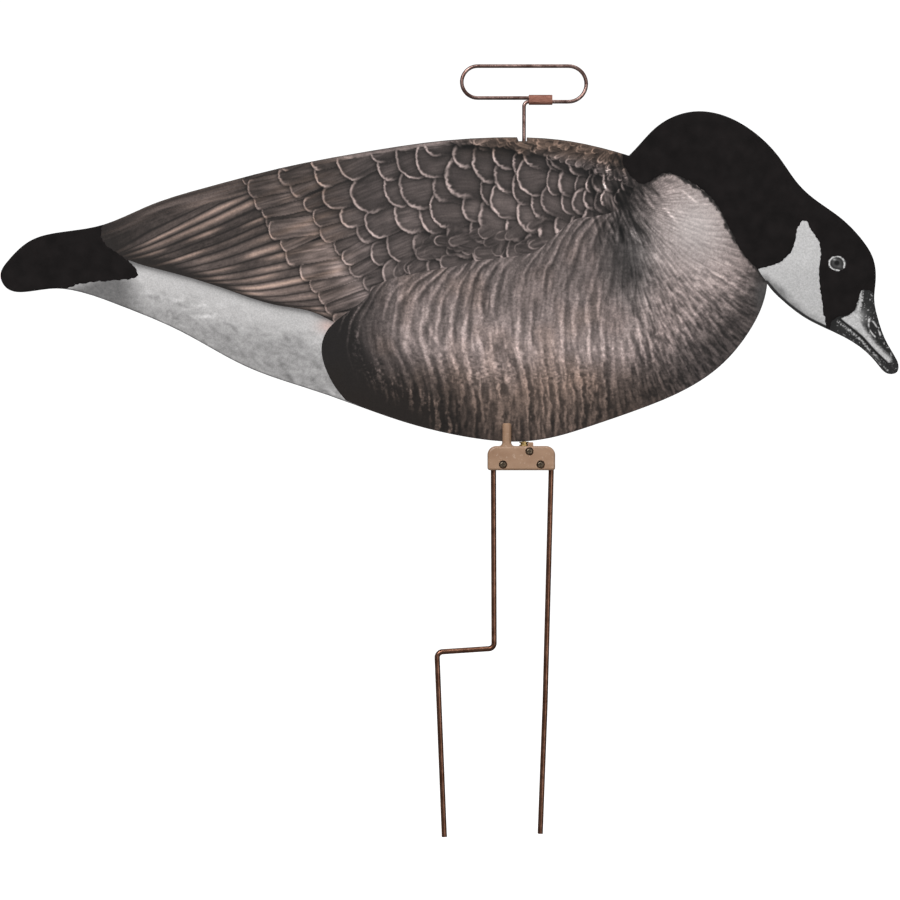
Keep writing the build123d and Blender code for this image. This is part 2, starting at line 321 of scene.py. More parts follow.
# Tips of the first row of wing coverts, where the flight feathers come out
COVERT_TIPS = [(-243, 403), (-232, 390), (-220, 374), (-211, 365), (-199, 351), (-186, 337), (-176, 327),
               (-166, 314), (-154, 300), (-146, 290)]

# The flank's black end, from its top down to the belly
FLANK_END = [(-146, 306), (-141, 275), (-133, 253), (-122, 238), (-101, 224), (-80, 215), (-69, 202),
             (-62, 180)]
# Where the plumage darkens along the belly and the breast
BREAST_EDGE = [(40, 168), (80, 196), (130, 222), (170, 252), (198, 290), (207, 314)]
# The edge of the neck's flocking, which the print's dark fringe follows
NECK_BASE = [(84, 426), (88, 408.6), (102, 399), (118, 407.6), (132, 405), (162, 383), (178, 353.5),
             (198, 326.6), CHIN]
# Under the cheek and along the bill, to its tip
CHIN_LINE = [(206, 315), (220, 300), (240, 285), (264, 273), (283, 262), (300, 247), (312, 237)]
MOUTH = [(268, 284), (279, 275), (287, 268.6), (297, 257.6), (308, 247)]
BILL_SHEEN = [(272, 284), (281, 280), (289, 271), (298, 260), (309, 249)]
BILL_TOP = [(285.5, 308), (286, 301), (284, 292)]
BILL_KEEL = [(290, 257), (300, 248), (309, 240)]
EYE = (265.6, 331.2)
NOSTRIL = (297, 275)

FLIGHT_FEATHERS = 22
COVERT_COLUMNS = 20


def back_line(x):
    """Height of the back's edge."""
    return np.interp(x, *BACK_EDGE)


def wing_line(x):
    """Height of the wing's lower edge."""
    return np.interp(x, *zip(*WING_EDGE))


def flank_line(x):
    """Height of the flank's upper edge."""
    return np.interp(x, *zip(*FLANK_TOP))


def bowed(x):
    """How much the hanging plumes bow, from 1 at the flank's end to 0 on the breast."""
    return np.interp(x, [-150, -60, 40, 90], [1, 0.75, 0.4, 0])


def plumage_flow(x, z):
    """Angle, in degrees, in which flank and breast feathers hang, away from the shoulder."""
    up, down = np.maximum(z - 272, 0), np.maximum(272 - z, 0)
    lean = bowed(x) * (0.009 * up - 0.0235 * down * bell(down / 38))
    hanging = -90 - np.degrees(np.arctan(lean))
    dx, dz = x - SHOULDER[0], z - SHOULDER[1]
    spreading = np.degrees(np.arctan2(dz, dx)) + 0.07 * np.hypot(dx, dz)
    spreading = np.clip(spreading, -125, 5)
    return mix(hanging, spreading, ramp(45, 112, x))


# --- painting -------------------------------------------------------------------------------------


class Canvas:
    """Tone and warmth at every point of a skin. Feathers and strokes are laid over it one by one."""

    def __init__(self, points):
        self.x, self.z = points[:, 0], points[:, 1]
        self.points = points
        self.tone = np.full(len(points), 90.0)
        self.warmth = np.ones(len(points))
        self.order = np.argsort(self.x)
        self.sorted_x = self.x[self.order]

    def lay(self, tone, share):
        """Mixes a tone over the whole skin."""
        self.tone[:] = mix(self.tone, tone, share)

    def tint(self, warmth, share):
        """Mixes a warmth over the whole skin."""
        self.warmth[:] = mix(self.warmth, warmth, share)

    def near(self, x, z, reach):
        """Points in a square round a place."""
        first, last = np.searchsorted(self.sorted_x, (x - reach, x + reach))
        found = self.order[first:last]
        return found[np.abs(self.z[found] - z) < reach]

    def local(self, x, z, angle, reach):
        """Points near a place, with their distances along and across a direction."""
        found = self.near(x, z, reach)
        dx, dz = self.x[found] - x, self.z[found] - z
        c, s = math.cos(math.radians(angle)), math.sin(math.radians(angle))
        return found, dx * c + dz * s, dz * c - dx * s

    def feather(self, x, z, angle, width, length, tip, tone, rim_tone, rim, seed,
                inner=0.3, shade=0.45, base=0.0, barbs=0.1, keep=1.0):
        """Lays one feather. Its rounded tip begins at (x, z) and points to angle, in degrees.

        inner darkens the band inside the rim, shade the plumage outside it, base lightens the far end,
        barbs sets the streaks, and keep is how much of what lies under it the feather covers.
        """
        found, along, across = self.local(x, z, angle, length + tip + 4)
        half = width / 2
        wobble = 0.04 * NOISE(along / 6 + seed * 7.3, across / 6 + seed)
        edge = (1 - np.hypot(across / half, np.maximum(along, 0) / tip) - wobble) * half
        back = ramp(-length, -length * 0.45, along)
        outside = np.exp(-np.maximum(-edge, 0) / 2.2) * (edge < 0) * back
        self.tone[found] *= 1 - shade * outside
        body = tone * (1 + barbs * NOISE(along / 11 + seed * 3.1, across / 1.1 + seed * 11))
        body *= 1 + base * ramp(0, -0.8 * length, along)
        body *= 1 - inner * np.exp(-np.maximum(edge - rim, 0) / 3.6)
        body *= 1 + 0.1 * NOISE(along / 8 + seed, across / 8 - seed)
        lashes = NOISE(np.arctan2(across, along + tip) * half / 1.1 + seed * 9, edge / 4 + seed)
        line = bell((edge - (0.55 + 0.4 * lashes) * rim) / (0.55 * rim))
        line *= np.clip(0.5 + 0.8 * along / tip, 0.1, 1) * (0.95 + 0.1 * across / half)
        line *= 0.9 + 0.3 * NOISE(along / 5 + seed, across / 5)
        body = mix(body, rim_tone, np.clip(line, 0, 1))
        self.tone[found] = mix(self.tone[found], body, ramp(-0.4, 0.6, edge) * back * keep)

    def dab(self, x, z, angle, length, width, change):
        """One soft stroke that lightens or darkens what it crosses."""
        found, along, across = self.local(x, z, angle, length / 2)
        cover = bell(across / (0.5 * width))
        cover *= ramp(0.5 * length, 0.15 * length, np.abs(along))
        self.tone[found] *= 1 + change * cover

    def line(self, path, width, tone, strength):
        """A soft line along a path."""
        cover = bell(distance_to(self.points, path) / (0.5 * width)) * strength
        self.lay(tone, np.clip(cover, 0, 1))

    def patch(self, x, z, reach_x, reach_z):
        """Cover of a soft patch, from 0 to 1."""
        return np.exp(-(((self.x - x) / reach_x) ** 2 + ((self.z - z) / reach_z) ** 2))

    def blot(self, x, z, reach_x, reach_z, tone, strength=1.0):
        """A soft patch of one tone."""
        self.lay(tone, self.patch(x, z, reach_x, reach_z) * strength)


NOISE = Noise(11)


def paint_rump(points):
    """Pale grey rump and under-tail: smooth above, woolly below, with a shadow under the wing."""
    canvas = Canvas(points)
    x, z = canvas.x, canvas.z
    drop = wing_line(x) - z
    clouds = NOISE.rough(x / 22 + 3, z / 14 + 5, 4)
    canvas.tone[:] = 188 - 34 * ramp(12, 42, drop + 12 * clouds) + 7 * clouds
    chance = np.random.default_rng(3)
    for _ in range(1500):
        px, depth = chance.uniform(-400, -150), chance.uniform(8, 80)
        pz = wing_line(px) - depth
        angle, length, width = chance.normal(-24, 22), chance.uniform(6, 18), chance.uniform(1.6, 4)
        canvas.dab(px, pz, angle, length, width, chance.normal(-0.01, 0.05) * ramp(6, 30, depth))
    wool = NOISE.rough(x / 2.6, z / 1.8, 3)
    canvas.tone[:] *= 1 + 0.07 * wool * ramp(6, 34, drop)
    under_tail = ramp(-318, -346, x + 5 * clouds) * ramp(8, 20, drop)
    canvas.lay(108 + 12 * wool, under_tail)
    canvas.lay(70, 0.85 * bell(np.maximum(drop, 0) / 2.6))
    canvas.lay(150, 0.35 * ramp(9, 2, drop))
    canvas.warmth[:] = 0.1
    blush = canvas.patch(-166, 278, 9, 6)
    canvas.lay(172, 0.6 * blush)
    canvas.tint(1.1, blush)
    return canvas


def flight_share(x, z):
    """How far down the fan of flight feathers each point lies: 0 at the back's edge, 1 at the lower edge.

    The fan's lines leave the wing's lower edge near the tail, run along it and sweep up to the coverts. The
    three narrow strips above them follow the back.
    """
    tips = smooth_path(COVERT_TIPS)
    floor = wing_line(x)
    top = back_line(x)
    heights = [top, top - 4, top - 8, top - 12.5]
    for share in np.linspace(0.05, 0.97, 12):
        start_x = mix(-374, -203, share**1.1)
        start = np.array([start_x, wing_line(start_x)])
        end = tips[int(share * (len(tips) - 1))]
        bend = mix(start, end, 0.42) + np.array([0, -6.0])
        t = np.linspace(0, 1.35, 28)[:, None]
        sweep = (1 - t) ** 2 * start + 2 * t * (1 - t) * bend + t**2 * end
        rising = np.interp(x, sweep[:, 0], sweep[:, 1], left=-1e3)
        heights.append(np.where(x < start_x, floor, np.maximum(rising, floor)))
    heights.append(floor)
    heights = np.minimum.accumulate(np.array(heights), axis=0)
    place = np.zeros(len(x))
    for upper, lower in zip(heights, heights[1:]):
        place += np.clip((upper - z) / np.maximum(upper - lower, 0.4), 0, 1)
    return place / (len(heights) - 1)


def paint_flight_feathers(canvas):
    """Long brown feathers that fan out towards the tail, each with a broken pale streak and dark edges."""
    x, z = canvas.x, canvas.z
    whole = flight_share(x, z)
    place = whole * FLIGHT_FEATHERS + 0.3 * NOISE(x / 45, z / 30)
    feather = np.floor(place).astype(int)
    share = place - feather
    pick = NOISE.values[feather & 255, 7]
    streak = bell((share - 0.4 - 0.15 * pick) / 0.26)
    patches = np.clip(0.55 + 1.0 * NOISE(x / 26 + feather * 5.3, feather * 1.7 + 0.5), 0, 1.3)
    barbs = NOISE(x / 7, place * 9) + 0.8 * NOISE(x / 2.0, place * 5)
    tone = 64 + 60 * streak * patches + 8 * barbs + 9 * pick
    tone *= 1 - 0.5 * bell(np.minimum(share, 1 - share) / 0.11)
    tone *= 1 + 0.38 * ramp(0.5, 0.9, whole) * ramp(-290, -200, x)
    shadow_height = mix(17, 5, ramp(-330, -220, x))
    tone *= 0.36 + 0.64 * ramp(0, shadow_height, z - wing_line(x))
    towards_tail = 0.5 + 0.5 * ramp(-368, -310, x)
    tone *= towards_tail
    tone *= 1 - 0.22 * ramp(0.24, 0.12, whole)
    tone *= 1 + 0.2 * NOISE.rough(x / 40 + 9, z / 22, 2)
    depth = back_line(x) - z
    along_back = 70 + 30 * NOISE(x / 34, depth / 2.2) + 8 * barbs
    tone = mix(tone, along_back * towards_tail, ramp(16, 12, depth))
    canvas.tone[:] = np.maximum(tone, 33)
    canvas.warmth[:] = 1.25 + 0.4 * streak * np.clip(patches, 0, 1)


def paint_coverts(canvas, chance):
    """Rounded wing and back feathers with pale rims, laid in columns from the tail towards the neck."""
    columns = [0, 1, 2, 4, 8, 12, 19]
    tops = [-238, -203, -173, -122, -32, 29, 100]
    bottoms = [-152, -124, -100, -68, -8, 38, 96]
    heights = [12, 14, 20, 27, 29, 24, 14]
    for column in range(COVERT_COLUMNS):
        top_x, next_top_x = np.interp([column, column + 1], columns, tops)
        bottom_x = np.interp(column, columns, bottoms)
        top_z, bottom_z = back_line(top_x) - 3, flank_line(bottom_x) - 8
        height = np.interp(column, columns, heights)
        for z, size in covert_places(chance, column, height, top_z, bottom_z):
            share = np.clip((top_z - z) / (top_z - bottom_z), 0, 1)
            x = mix(top_x, bottom_x, share) + chance.normal(0, 2.2) - 4 * math.sin(math.pi * share)
            lay_covert(canvas, chance, column, x, z, size, next_top_x - top_x)


def covert_places(chance, column, height, top_z, bottom_z):
    """Height and size of each feather of a column, roughly from the lowest up, as they overlap."""
    z, size, places = top_z + (0.1 + (column % 2) * 0.25) * height, height * 0.7, []
    while z > bottom_z:
        places.append((z, size))
        z -= size * chance.uniform(0.72, 1.0)
        size = height * min(1, size / height * 1.5) * chance.uniform(0.75, 1.2)
    return sorted(places, key=lambda place: place[0] + chance.normal(0, 8))


def lay_covert(canvas, chance, column, x, z, size, gap):
    """One covert. Those near the tail point down a little, and those near the neck up."""
    lean = np.interp(column, [0, 3, 6, 12, 19], [17, 20, 6, -14, -20])
    bluntness = np.interp(column, [0, 2, 6, 19], [0.26, 0.4, 0.42, 0.3])
    paleness = np.interp(column, [0, 5, 10, 19], [0.92, 1, 1.05, 0.92])
    thickness = np.interp(column, [0, 8, 19], [0.8, 1.1, 0.8])
    width = size * chance.uniform(1.1, 1.35)
    tip = width * bluntness * chance.uniform(0.8, 1.2)
    tone = chance.uniform(70, 90) * np.interp(back_line(x) - z, [0, 40, 90], [0.82, 1.0, 1.22])
    angle = 180 + lean + chance.normal(0, 6)
    rim_tone, rim = chance.uniform(165, 212) * paleness, chance.uniform(1.9, 3.0) * thickness
    inner = np.interp(column, [0, 4, 19], [0.18, 0.4, 0.5])
    base = np.interp(column, [0, 3, 8], [0.6, 0.35, 0.12])
    barbs = np.interp(column, [0, 3, 6], [0.3, 0.2, 0.12])
    canvas.feather(x, z, angle, width, gap + 22, tip, tone, rim_tone, rim, chance.uniform(0, 40),
                   inner=inner, shade=0.5, base=base, barbs=barbs)


def paint_small_coverts(canvas, chance):
    """Small loose feathers above the flank, pointing down towards the tail."""
    for _ in range(34):
        x = chance.uniform(-110, 12)
        z = flank_line(x) + chance.uniform(2, 24)
        angle, width, tip = chance.normal(212, 20), chance.uniform(7, 13), chance.uniform(4, 8)
        tone, rim_tone, rim = chance.uniform(70, 92), chance.uniform(130, 185), chance.uniform(0.9, 1.5)
        canvas.feather(x, z, angle, width, 14, tip, tone, rim_tone, rim, chance.uniform(0, 40),
                       shade=0.18, barbs=0.25, keep=0.85)


def paint_back_edge(canvas):
    """Tan band along the back's edge, with small rough brown feathers towards the neck."""
    depth = back_line(canvas.x) - canvas.z
    streaks = NOISE(canvas.x / 14, depth / 1.3) + 0.6 * NOISE(canvas.x / 4, depth / 0.9)
    band = ramp(5.0, 2.5, depth + 2 * streaks) * ramp(-190, -140, canvas.x) * ramp(20, -40, canvas.x)
    canvas.lay(128 + 34 * streaks, 0.9 * band)
    chance = np.random.default_rng(8)
    for _ in range(640):
        x = chance.uniform(-60, 96)
        deep = np.interp(x, [-60, -10, 30, 96], [1, 8, 17, 25])
        share = chance.uniform(0, 1) ** 1.2
        z = back_line(x) - deep * share
        angle = chance.normal(mix(188, 222, ramp(10, 80, x)), 22)
        width, length, tip = chance.uniform(3, 6.5), chance.uniform(5, 11), chance.uniform(2, 4.5)
        tone, rim_tone, rim = chance.uniform(55, 135), chance.uniform(130, 235), chance.uniform(0.6, 1.1)
        canvas.feather(x, z, angle, width, length, tip, tone, rim_tone, rim, chance.uniform(0, 40),
                       shade=0.1, barbs=0.4, keep=0.8)
    brown = ramp(20, 6, depth) * ramp(-70, -10, canvas.x)
    canvas.tint(2.0, brown)
    lip = ramp(2.2, 0.6, depth) * ramp(-200, -150, canvas.x)
    canvas.lay(118 + 20 * streaks, 0.5 * lip)


def paint_shoulder(canvas):
    """Dark and pale narrow feathers that lead down from the neck, over the last coverts."""
    chance = np.random.default_rng(13)
    for _ in range(420):
        x, z = chance.normal(84, 14), chance.uniform(350, 418)
        angle = mix(-76, -50, ramp(70, 112, x)) + chance.normal(0, 8)
        length, width = chance.uniform(12, 30), chance.uniform(1.4, 3.0)
        change = chance.choice([-0.34, 0.3]) * chance.uniform(0.5, 1)
        canvas.dab(x, z, angle, length, width, change)


def paint_wing(points):
    """Wing and back, laid in the order in which the feathers overlap."""
    canvas = Canvas(points)
    paint_flight_feathers(canvas)
    canvas.tint(1.0, ramp(-175, -130, canvas.x))
    chance = np.random.default_rng(5)
    paint_coverts(canvas, chance)
    paint_small_coverts(canvas, chance)
    paint_back_edge(canvas)
    paint_shoulder(canvas)
    paint_neck_base(canvas)
    return canvas


def paint_flank(points):
    """Flank and breast: a smooth run of tones, times a pattern of long plumes and fine strokes."""
    canvas = Canvas(points)
    pattern = plume_pattern(points)
    belly = distance_to(points, smooth_path(BREAST_EDGE))
    paint_flank_tones(canvas, belly)
    end = smooth_path(FLANK_END)
    beyond = np.interp(canvas.z, end[::-1, 1], end[::-1, 0]) - canvas.x
    near_end = distance_to(points, end) * np.sign(beyond)
    canvas.tone[:] *= 1 - 0.5 * ramp(-44, -4, near_end)
    contrast = 1.0 - 0.72 * canvas.patch(150, 362, 34, 44) + 0.15 * ramp(70, 20, belly)
    canvas.tone[:] *= 1 + (pattern - 1) * contrast
    lit = np.maximum(pattern - 1, 0) * ramp(20, 0, near_end)
    black_end = ramp(-6, 4, near_end + 10 * (pattern - 1))
    canvas.lay(29 + 150 * lit, black_end)
    paint_flank_warmth(canvas)
    paint_shoulder(canvas)
    paint_throat(canvas)
    paint_neck_base(canvas)
    return canvas


def paint_flank_tones(canvas, belly):
    """Tones by height, darker towards the belly and the shoulder, with the pale patches of the breast."""
    x, z = canvas.x, canvas.z
    heights = [180, 200, 222, 240, 264, 290, 325, 350]
    canvas.tone[:] = np.interp(z, heights, [60, 76, 95, 118, 137, 114, 94, 92])
    canvas.tone[:] *= 1 + 0.06 * NOISE.rough(x / 21, z / 17, 2)
    canvas.lay(56, ramp(64, 4, belly) * ramp(15, 75, x))
    canvas.blot(146, 364, 42, 46, 180)
    canvas.blot(154, 322, 36, 24, 160, 0.8)
    canvas.blot(124, 392, 26, 18, 155, 0.8)
    canvas.blot(120, 300, 26, 30, 128, 0.6)
    canvas.line([(98, 408), (92, 380), (82, 352), (88, 322)], 32, 56, 0.95)


def paint_flank_warmth(canvas):
    """Tan along the belly and in loose patches, and greyer on the shoulder and the pale breast."""
    x, z = canvas.x, canvas.z
    patches = np.clip(NOISE.rough(x / 20, z / 26, 2) + 0.1, 0, 1) * ramp(150, 60, x)
    brown = ramp(262, 205, z) * ramp(170, 90, x) + 0.5 * patches
    canvas.warmth[:] = mix(0.95, 1.7, np.clip(brown, 0, 1))
    canvas.tint(0.5, canvas.patch(92, 340, 22, 42))
    canvas.tint(0.5, canvas.patch(145, 362, 34, 40))


def plume_relief(x, z, below_edge):
    """Overlapping plumes, about 0: each has a pale edge on its left and a shadow just inside it.

    They hang in bows from the flank's upper edge, where their tips bend over, and spread over the breast.
    """
    up, down = np.maximum(z - 272, 0), np.maximum(272 - z, 0)
    bow = bowed(x) * (0.0045 * up**2 + 17 * (1 - bell(down / 38)))
    hanging = x - bow - 18 * np.exp(-below_edge / 12)
    dx, dz = x - SHOULDER[0], z - SHOULDER[1]
    spreading = np.degrees(np.arctan2(dz, dx)) - 0.07 * np.hypot(dx, dz)
    breast = ramp(50, 100, x)
    relief = np.zeros(len(x))
    low = ramp(275, 225, z)
    near_edge = 1 + 0.9 * bell(below_edge / 13)
    sets = (
        (hanging, 11.0, (1 - breast) * near_edge * mix(1, 0.8, low)),
        (hanging + 40, 7.6, 0.75 * (1 - breast) * low),
        (spreading, 3.6, 0.6 * breast),
    )
    for across, pitch, weight in sets:
        place = across / pitch + 0.5 * NOISE(x / 37, z / 70) + 0.16 * NOISE(x / 9, z / 13)
        place += (0.06 + 0.1 * low) * NOISE(x / 2, z / 3)
        plume = np.floor(place)
        share = place - plume
        broken = NOISE(plume * 3.7 + 0.5, z / mix(24, 7, low) + plume * 1.3)
        strength = np.clip(0.75 + mix(0.7, 1.5, low) * broken, mix(0.2, 0, low), 1.6)
        pale_edge = bell((share - 0.14) / 0.14)
        shadow = bell((share - 0.47) / 0.2)
        relief += weight * strength * (pale_edge - 0.8 * shadow)
    return relief * np.interp(z, [180, 215, 250, 300], [1.5, 1.25, 0.9, 1.0])


def plume_pattern(points):
    """Relief of the flank's plumage, about 1: long overlapping plumes, then thousands of fine strokes."""
    pattern = Canvas(points)
    x, z = pattern.x, pattern.z
    below_edge = distance_to(points, smooth_path(FLANK_TOP[:-1]))
    pattern.tone[:] = 100 * (1 + 0.36 * plume_relief(x, z, below_edge))
    chance = np.random.default_rng(21)
    low, high = points.min(axis=0), points.max(axis=0)
    for _ in range(10000):
        px, pz = chance.uniform(low[0], high[0]), chance.uniform(low[1], high[1])
        angle = plumage_flow(px, pz) + chance.normal(0, 4)
        fine = ramp(60, 130, px)
        length = mix(26, 16, fine) * chance.uniform(0.4, 1.2)
        width = mix(2.2, 1.6, fine) * chance.uniform(0.6, 1.5)
        strength = 0.08 + 0.04 * ramp(260, 200, pz) + 0.03 * fine
        pattern.dab(px, pz, angle, length, width, chance.normal(0, strength))
    for _ in range(900):
        px, pz = chance.uniform(90, 205), chance.uniform(215, 325)
        angle = plumage_flow(px, pz) + chance.normal(0, 5)
        length, width = chance.uniform(7, 13), chance.uniform(1.3, 2.2)
        pattern.dab(px, pz, angle, length, width, chance.uniform(-0.36, -0.12))
    strokes = pattern.tone / neighbourhood(x, z, pattern.tone) - 1
    softened = 1 + 0.45 * np.tanh(strokes / 0.45)
    return softened * (1 + 0.15 * NOISE(x / 0.9, z / 0.9) + 0.11 * NOISE(x / 2.6, z / 1.6))


def hairs(canvas):
    """Fine slanted noise for hairy edges."""
    return NOISE.rough(canvas.x / 2.2 + canvas.z / 6, canvas.z / 3 - canvas.x / 8, 3)


def paint_throat(canvas):
    """Dark end of the breast under the chin."""
    shadow = canvas.patch(204, 302, 8, 19)
    canvas.lay(66 + 10 * hairs(canvas), np.clip(1.2 * shadow, 0, 1))
    canvas.tint(0.2, shadow)


def paint_neck_base(canvas):
    """Ragged dark fringe where the print meets the flocked neck."""
    away = distance_to(canvas.points, smooth_path(NECK_BASE))
    canvas.lay(36, ramp(3.2, 0.4, away + 2.2 * hairs(canvas)))


def paint_head(points):
    """White cheek, eye and bill. The rest is under the flocking, and black."""
    canvas = Canvas(points)
    x, z = canvas.x, canvas.z
    canvas.warmth[:] = 0.05
    speckle = NOISE.rough(x / 1.4, z / 1.4, 2)
    clouds = NOISE.rough(x / 14, z / 14, 3)
    low = distance_to(points, smooth_path(CHIN_LINE))
    lower = ramp(350, 300, z)
    canvas.tone[:] = 193 + 4 * clouds + (4 + 7 * lower) * speckle - 12 * lower
    canvas.tone[:] -= 58 * ramp(9, 2, low + 5 * clouds) * ramp(262, 225, x)
    canvas.lay(34, ramp(2.0, 1.0, low))
    cheek_end = np.interp(z, [272, 283, 313, 347, 366], [260, 258.5, 255, 255, 248])
    canvas.tone[x > cheek_end] = 32
    paint_eye(canvas)
    paint_bill(canvas)
    return canvas


def paint_eye(canvas):
    """A pale ragged ring with a corner towards the bill, an iris, a pupil and two glints."""
    x, z = canvas.x - EYE[0], canvas.z - EYE[1]
    toward = bell((np.degrees(np.arctan2(z, x)) + 50) / 20)
    q = np.hypot(x / 6.4, z / 5.8) * (1 - 0.32 * toward)
    ragged = NOISE(canvas.x / 1.5, canvas.z / 1.5)
    ring = bell((q - 1.0 - 0.03 * ragged) / 0.12) * np.clip(1.1 + 0.6 * ragged, 0, 1)
    iris = 32 + 34 * bell((q - 0.5) / 0.22)
    canvas.lay(iris, ramp(1.15, 1.05, q))
    canvas.lay(18, ramp(0.34, 0.24, np.hypot(x / 6.6, (z - 0.4) / 6.0)))
    canvas.lay(228, ring)
    for glint_x, glint_z, tone in ((-2.2, 3.2, 170), (2.3, -2.6, 84)):
        canvas.blot(EYE[0] + glint_x, EYE[1] + glint_z, 1.6, 0.9, tone)


def paint_bill(canvas):
    """Black bill with a worn side, a dark mouth line, a toothed edge under it and a nostril."""
    x, z = canvas.x, canvas.z
    bill = x > np.interp(z, [236, 266, 283, 287, 292, 310], [300, 262, 266, 276, 281, 285.5])
    grit = NOISE.rough(x / 1.1, z / 1.1, 2)
    mouth = smooth_path(MOUTH)
    upper = z > np.interp(x, mouth[:, 0], mouth[:, 1])
    away = distance_to(canvas.points, mouth)
    tone = 36 + 150 * ramp(0.3, 0.75, grit)
    sheen = distance_to(canvas.points, smooth_path(BILL_SHEEN))
    worn = ramp(5.0, 1.0, sheen + 1.6 * grit) * upper
    worn += 1.2 * canvas.patch(281, 285, 8, 8)
    worn += ramp(2.4, 0.4, distance_to(canvas.points, BILL_TOP) + 2.2 * grit)
    tone = mix(tone, 186 + 26 * grit, np.clip(worn, 0, 1))
    teeth = ramp(1.5, 0.5, np.abs(away - 2.6)) * ~upper * ramp(308, 292, x)
    tone = mix(tone, 176, teeth * np.clip(0.6 + 1.6 * NOISE(x / 0.9, z / 0.9), 0, 1))
    tone = mix(tone, 24, ramp(1.3, 0.5, away))
    keel = distance_to(canvas.points, BILL_KEEL)
    tone = mix(tone, 170, ramp(1.1, 0.3, keel) * np.clip(0.5 + grit, 0, 1))
    canvas.tone[bill] = with_nostril(canvas, tone)[bill]


def with_nostril(canvas, tone):
    """The bill's tones with a long dark nostril, worn at its edge, and a glint."""
    x, z = canvas.x - NOSTRIL[0], canvas.z - NOSTRIL[1]
    along, across = x * 0.47 - z * 0.88, x * 0.88 + z * 0.47
    q = np.hypot(along / 9.0, (across - 0.012 * along**2) / 3.1)
    tone = mix(tone, 36, ramp(1.0, 0.8, q))
    worn = NOISE(canvas.x / 2.4, canvas.z / 2.4)
    edge = ramp(0.26, 0.08, np.abs(q - 1)) * np.clip(0.45 + 1.9 * worn, 0, 1)
    tone = mix(tone, 196, edge)
    return mix(tone, 120, ramp(1.1, 0.4, np.hypot(along - 3, across * 1.6)))


def to_linear(value):
    value = np.clip(value / 255, 0, 1)
    return np.where(value <= 0.04045, value / 12.92, ((value + 0.055) / 1.055) ** 2.4)


def ink(canvas):
    """Linear colour of each point."""
    tan = np.maximum(canvas.warmth - 1, 0)
    red = canvas.tone * (1 + 0.08 * canvas.warmth)
    green = canvas.tone * (1 - 0.028 * canvas.warmth + 0.02 * tan)
    blue = canvas.tone * (1 - 0.055 * canvas.warmth - 0.04 * tan)
    return np.stack([to_linear(red), to_linear(green), to_linear(blue), np.ones(len(red))], axis=1)


def put_ink(piece, colours):
    """Colours for the fine points. The rest of the slab, its edge and underside, is dark."""
    full = np.full((len(piece.data.vertices), 4), 0.02)
    full[:, 3] = 1
    full[: len(colours)] = colours
    layer = piece.data.attributes.new("ink", "FLOAT_COLOR", "POINT")
    layer.data.foreach_set("color", full.ravel())


# --- materials ------------------------------------------------------------------------------------


def rgb(r, g, b):
    """Linear colour from a print tone for each channel."""
    return tuple(float(to_linear(np.array(float(v)))) for v in (r, g, b))


class Finish:
    """A node material built round one Principled shader."""

    def __init__(self, name, roughness, metallic=0.0, **sockets):
        self.material = bpy.data.materials.new(name)
        self.material.use_nodes = True
        self.nodes = self.material.node_tree.nodes
        self.links = self.material.node_tree.links
        self.shader = self.nodes["Principled BSDF"]
        self.shader.inputs["Roughness"].default_value = roughness
        self.shader.inputs["Metallic"].default_value = metallic
        for socket, value in sockets.items():
            self.shader.inputs[socket.replace("_", " ")].default_value = value
        self.place = self.nodes.new("ShaderNodeTexCoord").outputs["Object"]

    def stretched(self, scale):
        node = self.nodes.new("ShaderNodeMapping")
        node.inputs["Scale"].default_value = scale
        self.links.new(self.place, node.inputs["Vector"])
        return node.outputs["Vector"]

    def noise(self, scale, detail=3.0, vector=None):
        node = self.nodes.new("ShaderNodeTexNoise")
        node.inputs["Scale"].default_value = scale
        node.inputs["Detail"].default_value = detail
        self.links.new(vector or self.place, node.inputs["Vector"])
        return node.outputs["Fac"]

    def ramp(self, fac, stops):
        node = self.nodes.new("ShaderNodeValToRGB")
        elements = node.color_ramp.elements
        while len(elements) < len(stops):
            elements.new(0.5)
        for element, (position, colour) in zip(elements, stops):
            element.position = position
            element.color = (*colour, 1)
        self.links.new(fac, node.inputs["Fac"])
        return node.outputs["Color"]

    def mixed(self, fac, a, b, blend="MIX"):
        node = self.nodes.new("ShaderNodeMix")
        node.data_type, node.blend_type = "RGBA", blend
        factor, first, second = node.inputs[0], node.inputs[6], node.inputs[7]
        for socket, value in ((factor, fac), (first, a), (second, b)):
            if isinstance(value, bpy.types.NodeSocket):
                self.links.new(value, socket)
            else:
                socket.default_value = value if isinstance(value, float) else (*value, 1)
        return node.outputs[2]

    def colour(self, socket):
        self.links.new(socket, self.shader.inputs["Base Color"])
        return self

    def rough(self, fac, low, high):
        node = self.nodes.new("ShaderNodeMapRange")
        node.inputs["To Min"].default_value, node.inputs["To Max"].default_value = low, high
        self.links.new(fac, node.inputs["Value"])
        self.links.new(node.outputs["Result"], self.shader.inputs["Roughness"])
        return self

    def bump(self, height, strength, distance):
        node = self.nodes.new("ShaderNodeBump")
        node.inputs["Strength"].default_value = strength
        node.inputs["Distance"].default_value = distance
        self.links.new(height, node.inputs["Height"])
        previous = self.shader.inputs["Normal"]
        if previous.links:
            self.links.new(previous.links[0].from_socket, node.inputs["Normal"])
        self.links.new(node.outputs["Normal"], previous)
        return self


